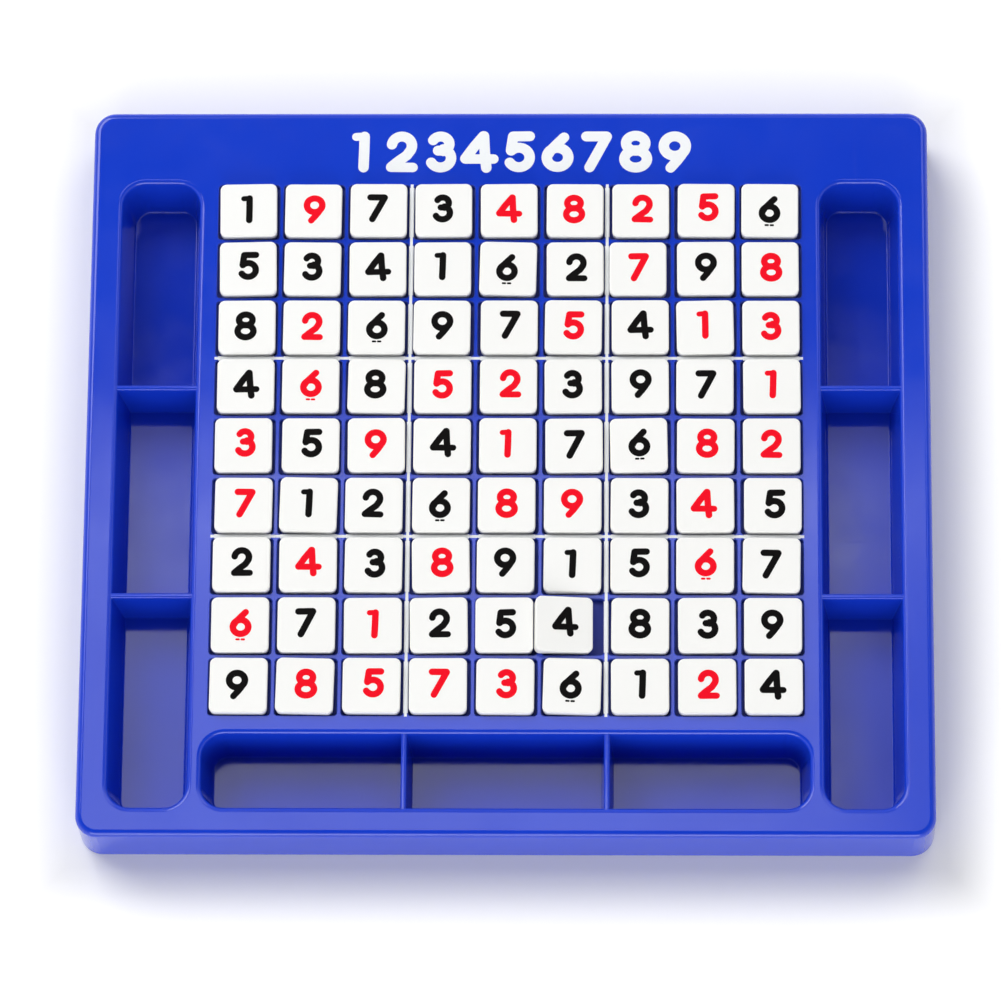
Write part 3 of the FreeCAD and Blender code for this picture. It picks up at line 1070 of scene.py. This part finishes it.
@dataclass(frozen=True)
class SoftBox:
    """A rectangular soft lamp."""

    panel: Panel
    middle: Triple  # m
    size: Point  # across and along, m
    power: float  # W
    aim: Aim = Aim.BOARD

    def hang(self) -> None:
        """Put the lamp in the scene."""
        lamp = bpy.data.lights.new(f"{self.panel.value}_soft_box", "AREA")
        lamp.shape = "RECTANGLE"
        lamp.size, lamp.size_y = self.size
        lamp.energy = self.power
        holder = bpy.data.objects.new(lamp.name, lamp)
        bpy.context.scene.collection.objects.link(holder)
        holder.location = self.middle
        holder.rotation_mode = "QUATERNION"
        x, y, z = self.middle
        way = Vector((-x, -y, -z)) if self.aim is Aim.BOARD else Vector((0.0, 0.0, -z))
        holder.rotation_quaternion = way.to_track_quat("-Z", "Y")
        holder.visible_camera = False
        LOG.info("lamp hung: %s", self.panel.value)


@dataclass(frozen=True)
class PhotographCamera:
    """The camera of the photograph, from a fit to the edges of the board."""

    image_side: float = 1001.0  # pixels
    focal_length: float = 5530.04  # pixels
    principal: Point = (513.428, 499.698)  # pixels from the upper left
    place: Triple = (0.0410086, -0.4620313, 1.6219596)  # m
    tilt: float = 0.27559234  # radians, about X
    lean: float = 0.02356491  # radians, about Y
    roll: float = 0.00085804  # radians, about Z
    sensor: float = 36.0  # mm
    clip: Point = (0.05, 50.0)  # m

    def set_up(self) -> None:
        """Make the camera and give it to the scene."""
        data = bpy.data.cameras.new("photograph_camera")
        data.type = "PERSP"
        data.sensor_fit = "HORIZONTAL"
        data.sensor_width = self.sensor
        data.lens = self.focal_length / self.image_side * self.sensor
        centre = self.image_side / 2
        data.shift_x = (centre - self.principal[0]) / self.image_side
        data.shift_y = (self.principal[1] - centre) / self.image_side
        data.clip_start, data.clip_end = self.clip
        holder = bpy.data.objects.new("photograph_camera", data)
        bpy.context.scene.collection.objects.link(holder)
        turn = Matrix.Rotation(self.tilt, 4, "X")
        turn @= Matrix.Rotation(self.lean, 4, "Y")
        turn @= Matrix.Rotation(self.roll, 4, "Z")
        holder.matrix_world = Matrix.Translation(self.place) @ turn
        bpy.context.scene.camera = holder
        LOG.info("camera set up")


@dataclass
class Studio:
    """The white paper floor, the soft lamps and the sky."""

    floor_side: float = 12.0  # m
    floor_squares: int = 4  # along one side
    paper: WhitePaper = field(default_factory=WhitePaper)
    horizon: float = 1.4  # how bright the sky is near the floor
    # Heights from 0 at the horizon to 1 overhead, and how bright the sky is above each
    sky_steps: tuple[Point, ...] = ((0.3, 0.65), (0.6, 0.25), (0.8, 0.05))
    sky_soft: float = 0.04  # half the height over which a step of the sky blends
    lamps: tuple[SoftBox, ...] = (
        SoftBox(Panel.MIRRORED_WIDE, (-0.10, 0.45, 2.24), (0.80, 0.40), 0.96, Aim.FLOOR_BELOW),
        SoftBox(Panel.MIRRORED_MIDDLE, (-0.11, 0.45, 2.22), (0.62, 0.40), 1.19, Aim.FLOOR_BELOW),
        SoftBox(Panel.MIRRORED_STRIP, (-0.05, 0.635, 2.26), (0.80, 0.12), 0.33, Aim.FLOOR_BELOW),
        SoftBox(Panel.KEY, (-1.50, 1.60, 2.25), (1.9, 1.9), 55.0),
        SoftBox(Panel.BACK_RIGHT, (1.15, 1.45, 2.25), (1.5, 1.5), 13.0),
        SoftBox(Panel.BACK, (-0.10, 1.75, 2.25), (3.0, 1.5), 7.5),
        SoftBox(Panel.FRONT, (-0.10, -2.20, 0.80), (2.2, 0.9), 24.0),
        SoftBox(Panel.FRONT_HIGH, (-0.10, -1.80, 1.25), (2.0, 0.9), 4.0),
    )

    def floor(self) -> None:
        """Lay a wide pale floor that shows white and keeps the board's shadow."""
        sheet = bmesh.new()
        squares = self.floor_squares
        bmesh.ops.create_grid(
            sheet, x_segments=squares, y_segments=squares, size=self.floor_side / 2
        )
        mesh = bpy.data.meshes.new("floor")
        sheet.to_mesh(mesh)
        sheet.free()
        floor = bpy.data.objects.new("floor", mesh)
        bpy.context.scene.collection.objects.link(floor)
        mesh.materials.append(self.paper.make())

    def sky(self) -> None:
        """Make the surroundings bright near the horizon and dim overhead, in soft steps."""
        world = bpy.data.worlds.new("studio")
        bpy.context.scene.world = world
        world.use_nodes = True
        tree = world.node_tree
        tree.nodes.clear()
        place = tree.nodes.new("ShaderNodeTexCoord")
        parts = tree.nodes.new("ShaderNodeSeparateXYZ")
        tree.links.new(place.outputs["Generated"], parts.inputs["Vector"])
        start = tree.nodes.new("ShaderNodeValue")
        level = start.outputs["Value"]
        level.default_value = self.horizon
        below = self.horizon
        for height, above in self.sky_steps:
            step = tree.nodes.new("ShaderNodeMapRange")
            step.interpolation_type = "SMOOTHSTEP"
            step.inputs["From Min"].default_value = height - self.sky_soft
            step.inputs["From Max"].default_value = height + self.sky_soft
            step.inputs["To Min"].default_value = 0.0
            step.inputs["To Max"].default_value = above - below
            tree.links.new(parts.outputs["Z"], step.inputs["Value"])
            total = tree.nodes.new("ShaderNodeMath")
            total.operation = "ADD"
            tree.links.new(level, total.inputs[0])
            tree.links.new(step.outputs["Result"], total.inputs[1])
            level = total.outputs["Value"]
            below = above
        background = tree.nodes.new("ShaderNodeBackground")
        output = tree.nodes.new("ShaderNodeOutputWorld")
        tree.links.new(level, background.inputs["Strength"])
        tree.links.new(background.outputs["Background"], output.inputs["Surface"])

    def build(self) -> None:
        """Set up the floor, the sky and the lamps."""
        self.floor()
        self.sky()
        for lamp in self.lamps:
            lamp.hang()
        view = bpy.context.scene.view_settings
        view.view_transform = "Standard"
        LOG.info("studio built")


def main() -> None:
    """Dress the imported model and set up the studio."""
    logging.basicConfig(level=logging.INFO, format="%(name)s: %(message)s")
    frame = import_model()
    PhotographCamera().set_up()
    board = TrayBoard()
    board.dress(frame["nodes"]["board"])
    white = WHITE_INK.make()
    board.lines(white)
    board.figure_band(white)
    tiles = NumberTiles()
    for name in sorted(frame["nodes"]):
        if name != "board":
            LOG.info("%s: %d dressed", name, tiles.dress(name, frame["nodes"][name]))
    Studio().build()


if __name__ == "__main__":
    main()
